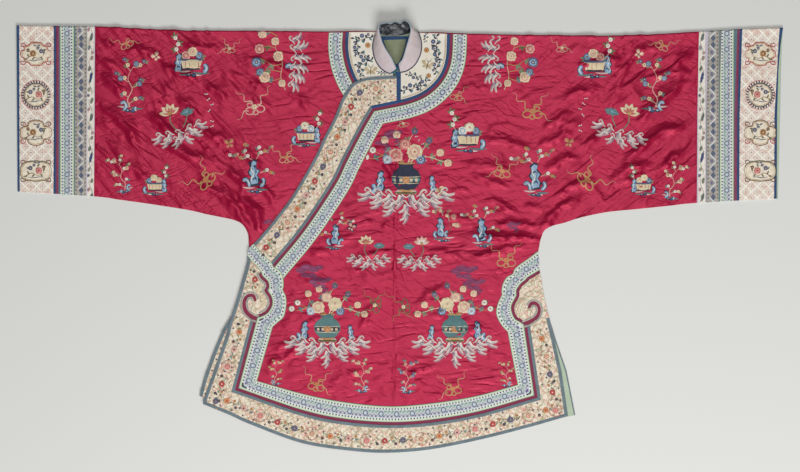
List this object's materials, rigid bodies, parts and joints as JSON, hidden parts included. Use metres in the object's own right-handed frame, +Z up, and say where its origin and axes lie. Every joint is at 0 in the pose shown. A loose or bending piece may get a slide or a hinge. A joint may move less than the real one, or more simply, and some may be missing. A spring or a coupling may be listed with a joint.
{
  "type": "embroidered coat",
  "caption": "Short wide-sleeved coat of crimson satin laid flat, with a side closing, a stand collar, a flared hem with slits and embroidered bands.",
  "frame": {"origin": "middle of the coat's outline, on the surface that it lies on", "axes": "+X to the wearer's left along the sleeves, +Y from the hem to the shoulders, +Z up out of the face of the laid coat"},
  "size_m": [1.761, 0.9913, 0.0296],
  "materials": {
    "crimson_satin": "crimson silk satin with a soft gloss",
    "purple_satin": "purple-red silk satin",
    "cream_embroidered_silk": "cream silk with fine embroidery in red, green and brown",
    "ivory_embroidered_silk": "ivory silk with flowers in navy and tan",
    "flowered_ribbon": "woven ribbon, pale green with dotted edges and small rings",
    "grey_brocade": "grey brocade ribbon",
    "cream_brocade": "cream brocade ribbon with blue leaves",
    "blue_binding": "blue silk binding and piping",
    "grey_green_binding": "grey-green silk binding and piping",
    "collar_silk": "lilac-grey silk",
    "green_lining": "green silk lining"
  },
  "bodies": {
    "root": {"right_half": "crimson_satin", "left_half": "crimson_satin", "overlap": "crimson_satin", "right_cuff_binding": "blue_binding", "right_cuff_band": "cream_embroidered_silk", "right_cuff_piping": "blue_binding", "right_cuff_strip": "purple_satin", "right_cuff_ribbon": "flowered_ribbon", "right_cuff_grey_brocade": "grey_brocade", "right_cuff_cream_brocade": "cream_brocade", "left_cuff_binding": "blue_binding", "left_cuff_band": "cream_embroidered_silk", "left_cuff_piping": "blue_binding", "left_cuff_strip": "purple_satin", "left_cuff_ribbon": "flowered_ribbon", "left_cuff_grey_brocade": "grey_brocade", "left_cuff_cream_brocade": "cream_brocade", "border_ribbon": "flowered_ribbon", "hem_piping": "grey_green_binding", "hem_binding": "grey_green_binding", "hem_band": "cream_embroidered_silk", "placket": "blue_binding", "closing_binding": "grey_green_binding", "neck_piping": "blue_binding", "closing_piping": "grey_green_binding", "neck_ribbon": "flowered_ribbon", "closing_band": "cream_embroidered_silk", "left_yoke": "ivory_embroidered_silk", "underlap_binding": "grey_green_binding", "underlap_band": "cream_embroidered_silk", "under_piping": "blue_binding", "under_ribbon": "flowered_ribbon", "right_yoke": "ivory_embroidered_silk", "neck_lining": "green_lining", "neck_facing": "blue_binding", "slit_lining": "green_lining", "back_slit_binding": "grey_green_binding", "collar": "collar_silk"}
  },
  "joints": []
}
